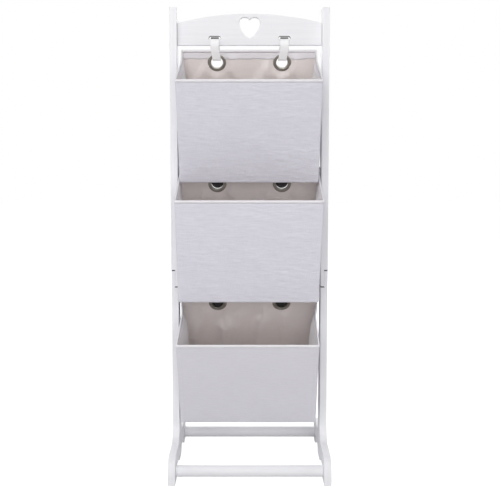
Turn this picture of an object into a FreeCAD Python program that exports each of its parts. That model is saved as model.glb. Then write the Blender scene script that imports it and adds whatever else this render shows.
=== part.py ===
"""Basket storage rack for a child's room.

Two painted board sides carry a headboard and four round bars.
Three tilted fabric baskets hang in between, each on two webbing loops.

Millimetres. The origin is on the floor, midway between the sides and midway along the feet.
+X points to the right seen from the front, +Y to the back and +Z up.

A basket is drawn in its own frame and tilted into place as a whole.
In that frame x runs across, y runs up from the rim and z runs forward from the back wall.
"""

import FreeCAD, Part
import math
import os

Vector = FreeCAD.Vector
Rotation = FreeCAD.Rotation

doc = FreeCAD.newDocument("BasketRack")


# Driving dimensions: millimetres and degrees
SIZES = {
    # Side frames
    "overall_height": "1100",
    "overall_width": "376",
    "board_thickness": "17",
    "post_depth": "57",
    "base_depth": "364",
    "runner_height": "62",
    "foot_length": "52",
    "arch_height": "26",
    "centre_clearance": "8",
    "nose_radius": "40",
    "arch_radius": "14",
    "brace_radius": "40",
    "lap_rise": "25.85",
    "lap_length": "40",
    "joint_clearance": "0.1",
    # Headboard
    "headboard_thickness": "16",
    "headboard_height": "73.5",
    "headboard_top_drop": "13",
    "headboard_rise": "21.5",
    "slot_length": "28",
    "slot_height": "9.5",
    "slot_spacing": "165",
    "slot_rise": "16.75",
    "heart_width": "50",
    "heart_height": "49",
    "heart_rise": "16.5",
    "heart_lobe_share": "0.27",
    "heart_join_angle": "10",
    # Round bars
    "rail_diameter": "25",
    "middle_rail_setback": "15",
    "lower_rail_setback": "10",
    "stretcher_diameter": "27",
    "stretcher_setback": "34",
    "stretcher_height": "24.5",
    # Fasteners
    "screw_diameter": "6.4",
    "screw_length": "50",
    "screw_head_diameter": "10",
    "screw_head_height": "4",
    "headboard_screw_spacing": "24",
    "key_width": "4",
    "key_depth": "2.5",
    "hole_clearance": "0.1",
    "bolt_diameter": "6",
    "bolt_head_diameter": "12",
    "bolt_head_height": "3.5",
    "sleeve_diameter": "8",
    "bolt_spacing": "28",
    # Baskets
    "basket_side_gap": "5.5",
    "basket_side_taper": "4",
    "basket_depth": "188",
    "basket_height_share": "0.23455",
    "cover_thickness": "1.2",
    "stiffener_thickness": "2",
    "base_board_thickness": "5",
    "lining_thickness": "1",
    "binding_height": "5",
    "ply_clearance": "0.1",
    "top_tilt": "25.5",
    "middle_tilt": "18.5",
    "bottom_tilt": "31",
    "top_rim_drop": "9.6",
    "middle_rail_drop": "8.2",
    "lower_rail_drop": "-5.2",
    "rail_gap": "2.5",
    "rest_gap": "0.4",
    # Eyelets and straps
    "eyelet_diameter": "44",
    "eyelet_bore": "29",
    "eyelet_barrel": "0.8",
    "eyelet_spacing": "156",
    "eyelet_drop": "31",
    "flange_thickness": "1",
    "strap_width": "20",
    "strap_thickness": "1.5",
    "strap_spacing": "160",
    "strap_clearance": "0.3",
    "strap_turn_clearance": "0.5",
    "loop_clearance": "1.2",
    # One overrun for all cuts
    "overrun": "2",
}

# Places and sizes worked out from the driving dimensions
PLACES = {
    "inner_half": "overall_width / 2 - board_thickness",
    "stretcher_offset": "base_depth / 2 - stretcher_setback",
    "headboard_top": "overall_height - headboard_top_drop",
    "headboard_bottom": "headboard_top - headboard_height",
    "headboard_arc": "(inner_half ^ 2 + headboard_rise ^ 2) / (2 * headboard_rise)",
    "slot_centre": "headboard_bottom + slot_rise",
    "rail_radius": "rail_diameter / 2",
    "hole_radius": "screw_diameter / 2 + hole_clearance",
    "head_hole_radius": "screw_head_diameter / 2 + hole_clearance",
    "screw_reach": "screw_length - board_thickness",
    # Outer size of a basket, which follows the frame
    "basket_rim_width": "2 * (inner_half - basket_side_gap)",
    "basket_base_width": "basket_rim_width - 2 * basket_side_taper",
    "basket_height": "overall_height * basket_height_share",
    # Layers of a basket wall, counted inwards from the outer face
    "side_board_inset": "cover_thickness + ply_clearance",
    "lining_inset": "side_board_inset + stiffener_thickness + ply_clearance",
    "wall_thickness": "lining_inset + lining_thickness",
    "side_wall_thickness": "side_board_inset + lining_thickness",
    "base_lining_inset": "side_board_inset + base_board_thickness + ply_clearance",
    "base_thickness": "base_lining_inset + lining_thickness",
    "layer_top": "0 - binding_height - ply_clearance",
    "side_slope_share": "(basket_rim_width - basket_base_width) / (2 * basket_height)",
    # Eyelets
    "bore_radius": "eyelet_bore / 2",
    "barrel_radius": "bore_radius + eyelet_barrel",
    "eyelet_hole_radius": "barrel_radius + hole_clearance",
    "flange_front": "wall_thickness + ply_clearance + flange_thickness",
    "flange_back": "0 - ply_clearance - flange_thickness",
    # Strap loops: the turn in the eyelet, the turn over the rim and the turn round the bar
    "turn_radius": "wall_thickness / 2 + flange_thickness + ply_clearance + strap_turn_clearance",
    "turn_edge": "turn_radius - strap_turn_clearance",
    "strap_edge": "abs(strap_spacing - eyelet_spacing) / 2 + strap_width / 2",
    "bore_chord": "sqrt(bore_radius ^ 2 - strap_edge ^ 2)",
    "turn_lift": "sqrt(turn_radius ^ 2 - turn_edge ^ 2)",
    "turn_height": "bore_chord - eyelet_drop - strap_turn_clearance + turn_lift",
    "rim_turn_radius": "wall_thickness / sqrt(2) + strap_clearance",
    "rail_turn_radius": "rail_radius + strap_clearance",
    "slot_edge_rise": "slot_rise - slot_height / 2",
    "slot_turn_radius": "sqrt((headboard_thickness / 2) ^ 2 + slot_edge_rise ^ 2) + loop_clearance",
    "rail_behind_wall": "rail_radius + rail_gap",
    "rest_distance": "rail_turn_radius + strap_thickness + rest_gap",
    # Back rim of the top basket, under the front face of the headboard
    "top_rim_y": "0 - headboard_thickness / 2",
    "top_rim_z": "headboard_bottom - top_rim_drop",
    "top_base_y": "top_rim_y - basket_depth * cos(top_tilt) + basket_height * sin(top_tilt)",
    "top_base_z": "top_rim_z - basket_depth * sin(top_tilt) - basket_height * cos(top_tilt)",
    # Middle rail, placed so that the top basket's base rests on it
    "middle_rail_rise": "((middle_rail_setback - top_base_y) * sin(top_tilt) - rest_distance)"
                        " / cos(top_tilt)",
    "middle_rail_z": "top_base_z + middle_rail_rise",
    "middle_rim_y": "middle_rail_setback - rail_behind_wall * cos(middle_tilt)"
                    " - middle_rail_drop * sin(middle_tilt)",
    "middle_rim_z": "middle_rail_z - rail_behind_wall * sin(middle_tilt)"
                    " + middle_rail_drop * cos(middle_tilt)",
    "middle_base_y": "middle_rim_y - basket_depth * cos(middle_tilt) + basket_height * sin(middle_tilt)",
    "middle_base_z": "middle_rim_z - basket_depth * sin(middle_tilt) - basket_height * cos(middle_tilt)",
    # Lower rail, placed so that the middle basket's base rests on it
    "lower_rail_rise": "((lower_rail_setback - middle_base_y) * sin(middle_tilt) - rest_distance)"
                       " / cos(middle_tilt)",
    "lower_rail_z": "middle_base_z + lower_rail_rise",
    "bottom_rim_y": "lower_rail_setback - rail_behind_wall * cos(bottom_tilt)"
                    " - lower_rail_drop * sin(bottom_tilt)",
    "bottom_rim_z": "lower_rail_z - rail_behind_wall * sin(bottom_tilt)"
                    " + lower_rail_drop * cos(bottom_tilt)",
    # Half-lap joint of each side, just above the lower rail
    "lap_middle_height": "lower_rail_z + lap_rise",
    "lap_bottom": "lap_middle_height - lap_length / 2",
    "lap_top": "lap_middle_height + lap_length / 2",
}


def names_in_sheets(text):
    """The formula with each name prefixed by the sheet that holds it."""
    words = []
    word = ""
    for letter in text + " ":
        if letter.isalnum() or letter == "_":
            word += letter
            continue
        if word in SIZES:
            word = "Sizes." + word
        elif word in PLACES:
            word = "Places." + word
        words.append(word + letter)
        word = ""
    return "".join(words).strip()


def fill_sheet(sheet, cells, mark):
    """One row for each name: the name in column A, its value in column B."""
    for row, (name, text) in enumerate(cells.items(), start=1):
        sheet.set(f"A{row}", name)
        sheet.set(f"B{row}", mark + text)
        sheet.setAlias(f"B{row}", name)


sizes = doc.addObject("Spreadsheet::Sheet", "Sizes")
places = doc.addObject("Spreadsheet::Sheet", "Places")
fill_sheet(sizes, SIZES, "")
fill_sheet(places, {name: names_in_sheets(text) for name, text in PLACES.items()}, "=")
doc.recompute()


def value(name):
    """A length or angle from the sheets, as a plain number."""
    return float(sizes.get(name) if name in SIZES else places.get(name))


def bind(thing, **formulas):
    """Bind properties of an object to formulas in the sheets' names."""
    for path, formula in formulas.items():
        thing.setExpression(path.replace("__", "."), names_in_sheets(formula))
    return thing


# Short forms for the primitives, each bound to the sheets

def at_place(thing, place):
    return bind(thing, Placement__Base__x=place[0], Placement__Base__y=place[1], Placement__Base__z=place[2])


def box(name, size, corner):
    block = doc.addObject("Part::Box", name)
    bind(block, Length=size[0], Width=size[1], Height=size[2])
    return at_place(block, corner)


def rod_across(name, radius, length, start):
    """A cylinder that runs along +X from its start."""
    rod = doc.addObject("Part::Cylinder", name)
    rod.Placement = FreeCAD.Placement(Vector(), Rotation(Vector(0, 1, 0), 90))
    bind(rod, Radius=radius, Height=length)
    return at_place(rod, start)


def rod_along_z(name, radius, length, start):
    rod = doc.addObject("Part::Cylinder", name)
    bind(rod, Radius=radius, Height=length)
    return at_place(rod, start)


def fuse(name, shapes):
    joined = doc.addObject("Part::MultiFuse", name)
    joined.Shapes = shapes
    joined.Refine = True
    return joined


def cut(name, base, tools):
    result = doc.addObject("Part::Cut", name)
    result.Base = base
    result.Tool = tools[0] if len(tools) == 1 else fuse(name + "_tools", tools)
    return result


def group(name, pieces):
    """Several separate solids kept together as one node."""
    bundle = doc.addObject("Part::Compound", name)
    bundle.Links = pieces
    return bundle


def rounded(name, base, corners, radius):
    """Round the edges across a board that pass through the given (y, z) corners."""
    doc.recompute()
    found = []
    for number, edge in enumerate(base.Shape.Edges, start=1):
        box_of_edge = edge.BoundBox
        across = box_of_edge.XLength > value("board_thickness") / 4
        for corner_y, corner_z in corners:
            near_y = max(abs(box_of_edge.YMin - corner_y), abs(box_of_edge.YMax - corner_y))
            near_z = max(abs(box_of_edge.ZMin - corner_z), abs(box_of_edge.ZMax - corner_z))
            if across and max(near_y, near_z) < value("joint_clearance"):
                found.append((number, radius, radius))
    fillet = doc.addObject("Part::Fillet", name)
    fillet.Base = base
    fillet.Edges = found
    return fillet


parts = {}


# Screw and bolt holes

SIDES = {"left": -1, "right": 1}


def span_start(side, from_outside, length):
    """Where a rod along +X starts, to cover a length that begins so far in from the outer face."""
    if side == "left":
        return f"{from_outside} - overall_width / 2"
    return f"overall_width / 2 - ({from_outside}) - ({length})"


def screw_hole(name, side, y, z):
    """The clearance hole through a side and the recess for the head."""
    shank_length = "board_thickness + 2 * overrun"
    recess_length = "screw_head_height + hole_clearance + overrun"
    return [
        rod_across(name + "_hole", "hole_radius", shank_length,
                   (span_start(side, "0 - overrun", shank_length), y, z)),
        rod_across(name + "_recess", "head_hole_radius", recess_length,
                   (span_start(side, "0 - overrun", recess_length), y, z)),
    ]


def end_hole(name, side, y, z):
    """The pilot hole in the end of a bar or board."""
    length = "screw_reach + hole_clearance + overrun"
    return rod_across(name, "hole_radius", length,
                      (span_start(side, "board_thickness - overrun", length), y, z))


def key_socket(name, side, y, z):
    """The hexagon socket in a screw's or bolt's head."""
    prism = doc.addObject("Part::Prism", name)
    prism.Polygon = 6
    prism.Placement = FreeCAD.Placement(Vector(), Rotation(Vector(0, 1, 0), 90))
    length = "key_depth + overrun"
    bind(prism, Circumradius="key_width / sqrt(3)", Height=length)
    return at_place(prism, (span_start(side, "0 - overrun", length), y, z))


def screw(name, side, y, z):
    head = rod_across(name + "_head", "screw_head_diameter / 2", "screw_head_height",
                      (span_start(side, "0", "screw_head_height"), y, z))
    shank = rod_across(name + "_shank", "screw_diameter / 2", "screw_length",
                       (span_start(side, "0", "screw_length"), y, z))
    return cut(name, fuse(name + "_blank", [head, shank]), [key_socket(name + "_socket", side, y, z)])


# Side frames

HEADBOARD_SCREWS = {
    "lower": "headboard_bottom + (headboard_height - headboard_rise - headboard_screw_spacing) / 2",
    "upper": "headboard_bottom + (headboard_height - headboard_rise + headboard_screw_spacing) / 2",
}
BAR_ENDS = {
    "middle_rail": ("middle_rail_setback", "middle_rail_z"),
    "lower_rail": ("lower_rail_setback", "lower_rail_z"),
    "front_stretcher": ("0 - stretcher_offset", "stretcher_height"),
    "rear_stretcher": ("stretcher_offset", "stretcher_height"),
}
BOLT_PLACES = {"front": "0 - bolt_spacing / 2", "rear": "bolt_spacing / 2"}


def lap_holes(name, side):
    """Holes of the half-lap's bolts: a sleeve hole right through and a head recess at each face."""
    holes = []
    through = "board_thickness + 2 * overrun"
    recess = "bolt_head_height + hole_clearance + overrun"
    for place, y in BOLT_PLACES.items():
        hole = f"{name}_{place}"
        holes.append(rod_across(hole + "_sleeve", "sleeve_diameter / 2 + hole_clearance", through,
                                (span_start(side, "0 - overrun", through), y, "lap_middle_height")))
        for face, start in (("outer", "0 - overrun"),
                            ("inner", "board_thickness - bolt_head_height - hole_clearance")):
            holes.append(rod_across(f"{hole}_{face}", "bolt_head_diameter / 2 + hole_clearance", recess,
                                    (span_start(side, start, recess), y, "lap_middle_height")))
    return holes


def upper_post(side):
    """A board whose lower end keeps only its inner half, as the tongue of the half-lap."""
    name = f"{side}_upper_post"
    tongue = "board_thickness / 2 - joint_clearance / 2"
    board = box(name + "_board", ("board_thickness", "post_depth", "overall_height - lap_top"),
                (span_start(side, "0", "board_thickness"), "0 - post_depth / 2", "lap_top"))
    inner_half_board = box(name + "_tongue", (tongue, "post_depth", "lap_length - joint_clearance"),
                           (span_start(side, f"board_thickness - ({tongue})", tongue),
                            "0 - post_depth / 2", "lap_bottom + joint_clearance"))
    holes = lap_holes(name + "_lap", side)
    for place, z in HEADBOARD_SCREWS.items():
        holes += screw_hole(f"{name}_{place}_screw", side, "0", z)
    holes += screw_hole(name + "_rail_screw", side, *BAR_ENDS["middle_rail"])
    parts[name] = cut(name, fuse(name + "_blank", [board, inner_half_board]), holes)


def leg(side):
    """The lower board: an inverted T with two feet, whose upper end keeps only its outer half."""
    name = f"{side}_leg"
    start = span_start(side, "0", "board_thickness")
    tongue = "board_thickness / 2 - joint_clearance / 2"
    pieces = [
        box(name + "_post", ("board_thickness", "post_depth", "lap_bottom - centre_clearance"),
            (start, "0 - post_depth / 2", "centre_clearance")),
        box(name + "_tongue", (tongue, "post_depth", "lap_length - joint_clearance"),
            (span_start(side, "0", tongue), "0 - post_depth / 2", "lap_bottom")),
        box(name + "_runner", ("board_thickness", "base_depth", "runner_height - arch_height"),
            (start, "0 - base_depth / 2", "arch_height")),
        box(name + "_front_foot", ("board_thickness", "foot_length", "arch_height"),
            (start, "0 - base_depth / 2", "0")),
        box(name + "_rear_foot", ("board_thickness", "foot_length", "arch_height"),
            (start, "base_depth / 2 - foot_length", "0")),
    ]
    half_base = value("base_depth") / 2
    half_post = value("post_depth") / 2
    foot_edge = half_base - value("foot_length")
    noses = [(end, value("runner_height")) for end in (-half_base, half_base)]
    braces = [(end, value("runner_height")) for end in (-half_post, half_post)]
    arches = [(end, value("arch_height")) for end in (-foot_edge, -half_post, half_post, foot_edge)]
    shape = rounded(name + "_noses", fuse(name + "_blank", pieces), noses, value("nose_radius"))
    shape = rounded(name + "_braces", shape, braces, value("brace_radius"))
    shape = rounded(name + "_arches", shape, arches, value("arch_radius"))
    holes = lap_holes(name + "_lap", side)
    for bar in ("lower_rail", "front_stretcher", "rear_stretcher"):
        holes += screw_hole(f"{name}_{bar}_screw", side, *BAR_ENDS[bar])
    parts[name] = cut(name, shape, holes)


def bar(name, radius):
    """A round bar between the sides, drilled at both ends."""
    y, z = BAR_ENDS[name]
    rod = rod_across(name + "_rod", radius, "2 * (inner_half - joint_clearance)",
                     ("joint_clearance - inner_half", y, z))
    parts[name] = cut(name, rod, [end_hole(f"{name}_{side}_hole", side, y, z) for side in SIDES])


# Headboard

def heart(name):
    """A prism in the shape of a heart: two round lobes with full sides that meet in a tip."""
    tip_z = value("headboard_bottom") + value("heart_rise")
    lobe = value("heart_width") * value("heart_lobe_share")
    centre_x = value("heart_width") / 2 - lobe
    centre_z = tip_z + value("heart_height") - lobe
    notch_z = centre_z + math.sqrt(lobe ** 2 - centre_x ** 2)
    join_angle = math.radians(value("heart_join_angle"))
    across, down = math.cos(join_angle), math.sin(join_angle)
    join_x, join_z = centre_x + lobe * across, centre_z - lobe * down
    rise = centre_z - tip_z
    reach = (centre_x ** 2 + rise ** 2 - lobe ** 2) / (2 * (centre_x * across - rise * down + lobe))
    side_x, side_z = centre_x - reach * across, centre_z + reach * down
    chord = Vector(join_x / 2 - side_x, 0, (tip_z + join_z) / 2 - side_z)
    chord.Length = reach + lobe
    full_x, full_z = side_x + chord.x, side_z + chord.z
    front_y = -value("headboard_thickness") / 2 - value("overrun")

    def at(x, z):
        return Vector(x, front_y, z)

    top = centre_z + lobe
    edges = [
        Part.Arc(at(0, tip_z), at(full_x, full_z), at(join_x, join_z)).toShape(),
        Part.Arc(at(join_x, join_z), at(centre_x, top), at(0, notch_z)).toShape(),
        Part.Arc(at(0, notch_z), at(-centre_x, top), at(-join_x, join_z)).toShape(),
        Part.Arc(at(-join_x, join_z), at(-full_x, full_z), at(0, tip_z)).toShape(),
    ]
    depth = value("headboard_thickness") + 2 * value("overrun")
    prism = doc.addObject("Part::Feature", name)
    prism.Shape = Part.Face(Part.Wire(edges)).extrude(Vector(0, depth, 0))
    return prism


def rod_back(name, radius, x, z):
    """A cylinder along +Y that passes right through the headboard."""
    rod = doc.addObject("Part::Cylinder", name)
    rod.Placement = FreeCAD.Placement(Vector(), Rotation(Vector(1, 0, 0), -90))
    bind(rod, Radius=radius, Height="headboard_thickness + 2 * overrun")
    return at_place(rod, (x, "0 - headboard_thickness / 2 - overrun", z))


def slot(name, sign):
    """A strap slot with round ends."""
    straight = "slot_length - slot_height"
    middle = f"{sign} * slot_spacing / 2"
    pieces = [box(name + "_middle", (straight, "headboard_thickness + 2 * overrun", "slot_height"),
                  (f"{middle} - ({straight}) / 2", "0 - headboard_thickness / 2 - overrun",
                   "slot_centre - slot_height / 2"))]
    for end, way in (("start", "-"), ("end", "+")):
        pieces.append(rod_back(f"{name}_{end}", "slot_height / 2", f"{middle} {way} ({straight}) / 2",
                               "slot_centre"))
    return fuse(name, pieces)


def headboard():
    board = box("headboard_board",
                ("2 * (inner_half - joint_clearance)", "headboard_thickness", "headboard_height"),
                ("joint_clearance - inner_half", "0 - headboard_thickness / 2", "headboard_bottom"))
    arched = doc.addObject("Part::MultiCommon", "headboard_arched")
    disc = rod_back("headboard_arc_disc", "headboard_arc", "0", "headboard_top - headboard_arc")
    arched.Shapes = [board, disc]
    cuts = [heart("headboard_heart")]
    cuts += [slot(f"headboard_{side}_slot", sign) for side, sign in SIDES.items()]
    for side in SIDES:
        cuts += [end_hole(f"headboard_{side}_{place}_hole", side, "0", z)
                 for place, z in HEADBOARD_SCREWS.items()]
    parts["headboard"] = cut("headboard", arched, cuts)


# Fasteners

def fasteners():
    for node, bars in (("rail_screws", ("middle_rail", "lower_rail")),
                       ("stretcher_screws", ("front_stretcher", "rear_stretcher"))):
        parts[node] = group(node, [screw(f"{name}_{side}_screw", side, *BAR_ENDS[name])
                                   for name in bars for side in SIDES])
    parts["headboard_screws"] = group("headboard_screws", [
        screw(f"headboard_{side}_{place}_screw", side, "0", z)
        for side in SIDES for place, z in HEADBOARD_SCREWS.items()])
    bolts = []
    nuts = []
    shank_length = "board_thickness - bolt_head_height - hole_clearance"
    sleeve_length = "board_thickness / 2 - hole_clearance"
    bore_length = f"({sleeve_length}) - bolt_head_height + overrun"
    for side in SIDES:
        for place, y in BOLT_PLACES.items():
            name = f"{side}_{place}"
            z = "lap_middle_height"
            head = rod_across(name + "_bolt_head", "bolt_head_diameter / 2", "bolt_head_height",
                              (span_start(side, "0", "bolt_head_height"), y, z))
            shank = rod_across(name + "_bolt_shank", "bolt_diameter / 2", shank_length,
                               (span_start(side, "0", shank_length), y, z))
            bolts.append(cut(name + "_bolt", fuse(name + "_bolt_blank", [head, shank]),
                             [key_socket(name + "_bolt_socket", side, y, z)]))
            head_start = span_start(side, "board_thickness - bolt_head_height", "bolt_head_height")
            nut_head = rod_across(name + "_nut_head", "bolt_head_diameter / 2", "bolt_head_height",
                                  (head_start, y, z))
            sleeve_start = span_start(side, f"board_thickness - ({sleeve_length})", sleeve_length)
            sleeve = rod_across(name + "_nut_sleeve", "sleeve_diameter / 2", sleeve_length,
                                (sleeve_start, y, z))
            bore_start = span_start(side, f"board_thickness - ({sleeve_length}) - overrun", bore_length)
            bore = rod_across(name + "_nut_bore", "bolt_diameter / 2 + hole_clearance", bore_length,
                              (bore_start, y, z))
            nuts.append(cut(name + "_nut", fuse(name + "_nut_blank", [nut_head, sleeve]), [bore]))
    parts["lap_bolts"] = group("lap_bolts", bolts)
    parts["lap_nuts"] = group("lap_nuts", nuts)


# Baskets

def layer(name, top, bottom, back, front, side_inset):
    """A block of the basket's tapered form, between two heights and two depths, inset from its sides."""
    block = doc.addObject("Part::Wedge", name)
    upper = f"basket_rim_width / 2 + ({top}) * side_slope_share - ({side_inset})"
    lower = f"basket_rim_width / 2 + ({bottom}) * side_slope_share - ({side_inset})"
    bind(block, Ymin=bottom, Ymax=top, Zmin=back, Zmax=front, Z2min=back, Z2max=front)
    return bind(block, Xmin=f"0 - ({lower})", Xmax=lower, X2min=f"0 - ({upper})", X2max=upper)


def side_panel(name, sign, top, bottom, back, front):
    """The cloth of one side, which leans with the basket's taper."""
    panel = doc.addObject("Part::Wedge", name)
    bind(panel, Ymin=bottom, Ymax=top, Zmin=back, Zmax=front, Z2min=back, Z2max=front)
    for level, height in (("X", bottom), ("X2", top)):
        outer = f"basket_rim_width / 2 + ({height}) * side_slope_share"
        inner = f"{outer} - cover_thickness"
        near, far = (inner, outer) if sign > 0 else (f"0 - ({outer})", f"0 - ({inner})")
        bind(panel, **{level + "min": near, level + "max": far})
    return panel


def eyelet_rods(name, radius, back, front):
    """A rod through the back wall at each eyelet."""
    return [rod_along_z(f"{name}_{side}", radius, f"({front}) - ({back})",
                        (f"{sign} * eyelet_spacing / 2", "0 - eyelet_drop", back))
            for side, sign in SIDES.items()]


def belt_loop(circles, across):
    """The closed line of a belt drawn tight round circles, each (back, up, radius), in clockwise order."""
    count = len(circles)
    normals = []
    for number, (back, up, radius) in enumerate(circles):
        next_back, next_up, next_radius = circles[(number + 1) % count]
        gap = math.hypot(next_back - back, next_up - up)
        along = ((next_back - back) / gap, (next_up - up) / gap)
        lean = (radius - next_radius) / gap
        out = math.sqrt(1 - lean ** 2)
        normals.append((lean * along[0] - out * along[1], lean * along[1] + out * along[0]))
    edges = []
    for number, (back, up, radius) in enumerate(circles):
        arrive = normals[number - 1]
        leave = normals[number]
        first = math.atan2(arrive[1], arrive[0])
        last = math.atan2(leave[1], leave[0])
        if last > first:
            last -= 2 * math.pi

        def on_circle(angle):
            return Vector(across, up + radius * math.sin(angle), -back - radius * math.cos(angle))

        edges.append(Part.Arc(on_circle(first), on_circle((first + last) / 2), on_circle(last)).toShape())
        next_back, next_up, next_radius = circles[(number + 1) % count]
        end = Vector(across, next_up + next_radius * leave[1], -next_back - next_radius * leave[0])
        edges.append(Part.LineSegment(on_circle(last), end).toShape())
    return Part.Wire(edges)


def strap(name, sign, bar_turn):
    """A webbing loop: through the eyelet, over the rim and round the bar that carries it."""
    wall_middle = value("wall_thickness") / 2
    turns = [
        (-wall_middle, value("turn_height"), value("turn_radius")),
        (-wall_middle, -wall_middle, value("rim_turn_radius")),
        bar_turn,
    ]
    thickness = value("strap_thickness")
    outer = [(back, up, radius + thickness) for back, up, radius in turns]
    edge = sign * value("strap_spacing") / 2 - value("strap_width") / 2
    width = Vector(value("strap_width"), 0, 0)
    filled, hollow = (Part.Face(belt_loop(line, edge)).extrude(width) for line in (outer, turns))
    webbing = doc.addObject("Part::Feature", name)
    webbing.Shape = filled.cut(hollow)
    parts[name] = webbing


def bar_in_basket(place, bar_y, bar_z, radius):
    """The bar that carries a basket, as (back, up, radius) in the basket's own frame."""
    tilt = math.radians(value(place + "_tilt"))
    back = bar_y - value(place + "_rim_y")
    up = bar_z - value(place + "_rim_z")
    back_in_basket = back * math.cos(tilt) + up * math.sin(tilt)
    up_in_basket = up * math.cos(tilt) - back * math.sin(tilt)
    return (back_in_basket, up_in_basket, radius)


def basket(place, bar_turn):
    """All pieces of one basket, drawn upright and then tilted and hung in its place."""
    first = len(parts)
    name = place + "_basket"
    bottom = "0 - basket_height"
    holes = "0 - overrun"
    through = "wall_thickness + overrun"

    parts[name + "_front_panel"] = layer(name + "_front_panel", "layer_top", bottom,
                                         "basket_depth - cover_thickness", "basket_depth", "0")
    back_panel = layer(name + "_back_panel_blank", "layer_top", bottom, "0", "cover_thickness", "0")
    parts[name + "_back_panel"] = cut(name + "_back_panel", back_panel, eyelet_rods(
        name + "_panel_hole", "eyelet_hole_radius", holes, through))
    seam_back = "cover_thickness + ply_clearance"
    seam_front = "basket_depth - cover_thickness - ply_clearance"
    for side, sign in SIDES.items():
        parts[f"{name}_{side}_panel"] = side_panel(f"{name}_{side}_panel", sign, "layer_top", bottom,
                                                   seam_back, seam_front)
    parts[name + "_base_panel"] = layer(name + "_base_panel", "cover_thickness - basket_height", bottom,
                                        seam_back, seam_front, "side_board_inset")

    lining = layer(name + "_lining_block", "layer_top", "base_lining_inset - basket_height",
                   "lining_inset", "basket_depth - lining_inset", "side_board_inset")
    hollow = layer(name + "_lining_hollow", "overrun", "base_thickness - basket_height",
                   "wall_thickness", "basket_depth - wall_thickness", "side_wall_thickness")
    parts[name + "_lining"] = cut(name + "_lining", lining, [hollow] + eyelet_rods(
        name + "_lining_hole", "eyelet_hole_radius", holes, through))

    board_bottom = "side_board_inset - basket_height"
    parts[name + "_front_board"] = layer(
        name + "_front_board", "layer_top", board_bottom,
        "basket_depth - side_board_inset - stiffener_thickness", "basket_depth - side_board_inset",
        "side_board_inset")
    back_board = layer(name + "_back_board_blank", "layer_top", board_bottom, "side_board_inset",
                       "side_board_inset + stiffener_thickness", "side_board_inset")
    parts[name + "_back_board"] = cut(name + "_back_board", back_board, eyelet_rods(
        name + "_board_hole", "eyelet_hole_radius", holes, through))
    parts[name + "_base_board"] = layer(
        name + "_base_board", "side_board_inset + base_board_thickness - basket_height", board_bottom,
        "lining_inset", "basket_depth - lining_inset", "side_board_inset")

    rim = layer(name + "_rim_block", "0", "0 - binding_height", "0", "basket_depth", "0")
    mouth = layer(name + "_rim_mouth", "overrun", "0 - binding_height - overrun",
                  "wall_thickness", "basket_depth - wall_thickness", "side_wall_thickness")
    parts[name + "_rim_binding"] = cut(name + "_rim_binding", rim, [mouth])

    rings = []
    washers = []
    flanges = eyelet_rods(name + "_flange", "eyelet_diameter / 2", "wall_thickness + ply_clearance",
                          "flange_front")
    barrels = eyelet_rods(name + "_barrel", "barrel_radius", "flange_back", "flange_front")
    bores = eyelet_rods(name + "_bore", "bore_radius", "flange_back - overrun", "flange_front + overrun")
    discs = eyelet_rods(name + "_washer_disc", "eyelet_diameter / 2", "flange_back", "0 - ply_clearance")
    seats = eyelet_rods(name + "_washer_seat", "eyelet_hole_radius", "flange_back - overrun", "overrun")
    for number, side in enumerate(SIDES):
        ring = fuse(f"{name}_{side}_ring_blank", [flanges[number], barrels[number]])
        rings.append(cut(f"{name}_{side}_ring", ring, [bores[number]]))
        washers.append(cut(f"{name}_{side}_washer", discs[number], [seats[number]]))
    parts[name + "_eyelet_rings"] = group(name + "_eyelet_rings", rings)
    parts[name + "_eyelet_washers"] = group(name + "_eyelet_washers", washers)
    for side, sign in SIDES.items():
        strap(f"{name}_{side}_strap", sign, bar_turn)

    upright = Rotation(Vector(1, 0, 0), 90)
    for piece in list(parts.values())[first:]:
        piece.Placement = FreeCAD.Placement(Vector(), upright)
        bind(piece, Placement__Rotation__Angle=f"90 + {place}_tilt",
             Placement__Base__y=place + "_rim_y", Placement__Base__z=place + "_rim_z")


for side in SIDES:
    upper_post(side)
    leg(side)
headboard()
for name in ("middle_rail", "lower_rail"):
    bar(name, "rail_radius")
for name in ("front_stretcher", "rear_stretcher"):
    bar(name, "stretcher_diameter / 2")
fasteners()
basket("top", bar_in_basket("top", 0, value("headboard_bottom"), value("slot_turn_radius")))
basket("middle", bar_in_basket("middle", value("middle_rail_setback"), value("middle_rail_z"),
                               value("rail_turn_radius")))
basket("bottom", bar_in_basket("bottom", value("lower_rail_setback"), value("lower_rail_z"),
                               value("rail_turn_radius")))
doc.recompute()


# Check every object, then write one file for each node

for thing in doc.Objects:
    if "Invalid" in thing.State or "Error" in thing.State:
        raise RuntimeError(f"{thing.Label} failed: {thing.State}")
for name, piece in parts.items():
    if piece.Shape.isNull() or not piece.Shape.isValid() or not piece.Shape.Solids:
        raise RuntimeError(f"{name} has no valid solid")

os.makedirs("parts", exist_ok=True)
for name, piece in parts.items():
    piece.Label = name
    piece.Shape.exportStep(os.path.join("parts", name + ".step"))
print(len(parts), "nodes written")
for name in ("middle_rail_z", "lower_rail_z", "top_rim_y", "top_rim_z", "middle_rim_y", "middle_rim_z",
             "bottom_rim_y", "bottom_rim_z", "headboard_bottom", "slot_turn_radius"):
    print(name, round(value(name), 3))
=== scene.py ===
# %% [markdown]
# # A rack with three hanging fabric baskets
# The rack is a white painted wooden frame. Three cloth baskets hang in it on webbing loops: the top one
# from slots in the headboard, the others from round rails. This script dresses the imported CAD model: the
# wood gets eased edges and paint, and the baskets are sewn again as cloth. The lengths of the pieces are
# written in millimetres, as on a cutting plan, and turned into Blender's metres when a point is placed.

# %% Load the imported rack
import math

import bmesh
import bpy
from mathutils import Matrix, Vector, noise


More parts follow.
